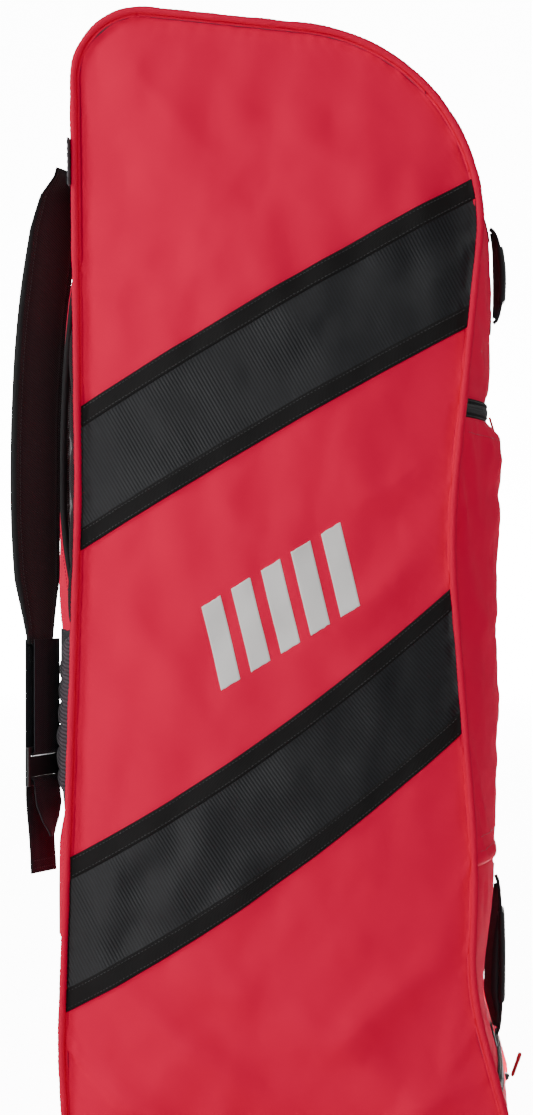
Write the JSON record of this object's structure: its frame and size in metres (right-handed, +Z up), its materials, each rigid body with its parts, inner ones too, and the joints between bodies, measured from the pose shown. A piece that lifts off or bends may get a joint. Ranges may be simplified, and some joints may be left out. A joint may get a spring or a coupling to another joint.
{
  "type": "hockey equipment bag",
  "caption": "Tall upright equipment bag with padded shoulder straps, a zipped top flap, a front pocket, diagonal ribbed bands and two grab handles.",
  "frame": {"origin": "on the ground under the middle of the bag, at the flat face of its base", "axes": "+Z up, +X towards the front pockets, the shoulder straps on -X, side panels facing -Y and +Y"},
  "size_m": [0.4409, 0.331, 1.0007],
  "materials": {
    "red_fabric": "woven polyester",
    "red_piping": "woven polyester",
    "ribbed_band": "ribbed",
    "edge_tape": "woven tape",
    "webbing": "woven webbing",
    "grip_fabric": "woven polyester",
    "base_fabric": "coated",
    "zip_tape": "woven tape",
    "zip_metal": "black enamel",
    "puller_cord": "cord",
    "moulded_plastic": "moulded acetal",
    "pad_mesh": "padded mesh",
    "air_mesh": "spacer mesh",
    "board": "polyethylene sheet",
    "lining": "plain woven"
  },
  "bodies": {
    "bag": {"side_panel_near": "red_fabric", "top_rail_near": "red_fabric", "strap_wing_near": "red_fabric", "piping_near": "red_piping", "upper_band_near": "ribbed_band", "upper_band_upper_edge_tape_near": "edge_tape", "upper_band_lower_edge_tape_near": "edge_tape", "lower_band_near": "ribbed_band", "lower_band_upper_edge_tape_near": "edge_tape", "lower_band_lower_edge_tape_near": "edge_tape", "side_panel_far": "red_fabric", "top_rail_far": "red_fabric", "strap_wing_far": "red_fabric", "piping_far": "red_piping", "upper_band_far": "ribbed_band", "upper_band_upper_edge_tape_far": "edge_tape", "upper_band_lower_edge_tape_far": "edge_tape", "lower_band_far": "ribbed_band", "lower_band_upper_edge_tape_far": "edge_tape", "lower_band_lower_edge_tape_far": "edge_tape", "back_panel": "red_fabric", "front_panel": "red_fabric", "front_pocket": "red_fabric", "base_panel": "base_fabric", "main_zip_bag_tape": "zip_tape", "front_pocket_zip": "zip_tape", "lower_zip": "zip_tape", "frame_sheet": "board", "base_board": "board", "stick_divider": "lining", "spine_pad": "pad_mesh", "lumbar_pad": "air_mesh", "yoke_webbing": "webbing"},
    "flap": {"main_flap": "red_fabric", "main_zip_flap_tape": "zip_tape"},
    "upper_handle": {"upper_handle_webbing": "webbing", "upper_handle_grip": "grip_fabric"},
    "lower_handle": {"lower_handle_webbing": "webbing", "lower_handle_grip": "grip_fabric"},
    "strap_near": {"strap_pad_near": "pad_mesh", "strap_loop_near": "webbing", "strap_webbing_near": "webbing", "ladder_lock_near": "moulded_plastic"},
    "tail_near": {"strap_tail_near": "webbing"},
    "strap_far": {"strap_pad_far": "pad_mesh", "strap_loop_far": "webbing", "strap_webbing_far": "webbing", "ladder_lock_far": "moulded_plastic"},
    "tail_far": {"strap_tail_far": "webbing"},
    "main_zip_near_slider": {"main_zip_near_slider": "zip_metal"},
    "main_zip_near_puller": {"main_zip_near_puller": "puller_cord"},
    "main_zip_far_slider": {"main_zip_far_slider": "zip_metal"},
    "main_zip_far_puller": {"main_zip_far_puller": "puller_cord"},
    "pocket_zip_slider": {"pocket_zip_slider": "zip_metal"},
    "pocket_zip_puller": {"pocket_zip_puller": "puller_cord"},
    "lower_zip_slider": {"lower_zip_slider": "zip_metal"},
    "lower_zip_puller": {"lower_zip_puller": "puller_cord"}
  },
  "joints": [
    {"name": "flap_hinge", "type": "hinge", "parent": "bag", "child": "flap", "pos_m": [0.1743, 0, 0.8568], "axis": [0, 1, 0], "range_deg": [0, 150]},
    {"name": "upper_handle_swing", "type": "hinge", "parent": "bag", "child": "upper_handle", "pos_m": [0.1928, 0, 0.7379], "axis": [-0.0514, 0, 0.9987], "range_deg": [-15, 15]},
    {"name": "lower_handle_swing", "type": "hinge", "parent": "bag", "child": "lower_handle", "pos_m": [0.1969, 0, 0.1025], "axis": [-0.0118, 0, 0.9999], "range_deg": [-15, 15]},
    {"name": "strap_near_swing", "type": "hinge", "parent": "bag", "child": "strap_near", "pos_m": [-0.19, -0.106, 0.29], "axis": [0.0139, 0.0278, 0.9995], "range_deg": [0, 25]},
    {"name": "tail_near_swing", "type": "hinge", "parent": "strap_near", "child": "tail_near", "pos_m": [-0.20594, -0.08759, 0.3339], "axis": [0.4384, 0.8988, 0], "range_deg": [-4, 60]},
    {"name": "strap_far_swing", "type": "hinge", "parent": "bag", "child": "strap_far", "pos_m": [-0.19, 0.106, 0.29], "axis": [0.0139, -0.0278, 0.9995], "range_deg": [-25, 0]},
    {"name": "tail_far_swing", "type": "hinge", "parent": "strap_far", "child": "tail_far", "pos_m": [-0.20594, 0.08759, 0.3339], "axis": [-0.4384, 0.8988, 0], "range_deg": [-4, 60]},
    {"name": "main_zip_near_run", "type": "slide", "parent": "bag", "child": "main_zip_near_slider", "axis": [0.9934, 0, -0.1145], "range_m": [0, 0.11]},
    {"name": "main_zip_near_pull", "type": "hinge", "parent": "main_zip_near_slider", "child": "main_zip_near_puller", "pos_m": [-0.0866, -0.09705, 0.9993], "axis": [0, -1, 0], "range_deg": [0, 160]},
    {"name": "main_zip_far_run", "type": "slide", "parent": "bag", "child": "main_zip_far_slider", "axis": [0.9934, 0, -0.1145], "range_m": [0, 0.11]},
    {"name": "main_zip_far_pull", "type": "hinge", "parent": "main_zip_far_slider", "child": "main_zip_far_puller", "pos_m": [-0.0866, 0.09705, 0.9993], "axis": [0, -1, 0], "range_deg": [0, 160]},
    {"name": "pocket_zip_run", "type": "hinge", "parent": "bag", "child": "pocket_zip_slider", "pos_m": [-0.5552, 0, 0.6555], "axis": [0, 0, -1], "range_deg": [0, 13.2]},
    {"name": "pocket_zip_pull", "type": "hinge", "parent": "pocket_zip_slider", "child": "pocket_zip_puller", "pos_m": [0.1896, 0.085, 0.6552], "axis": [0, -1, 0], "range_deg": [0, 150]},
    {"name": "lower_zip_run", "type": "slide", "parent": "bag", "child": "lower_zip_slider", "axis": [0, 1, 0], "range_m": [0, 0.17]},
    {"name": "lower_zip_pull", "type": "hinge", "parent": "lower_zip_slider", "child": "lower_zip_puller", "pos_m": [0.2074, -0.085, 0.0833], "axis": [0, 1, 0], "range_deg": [0, 140]}
  ]
}
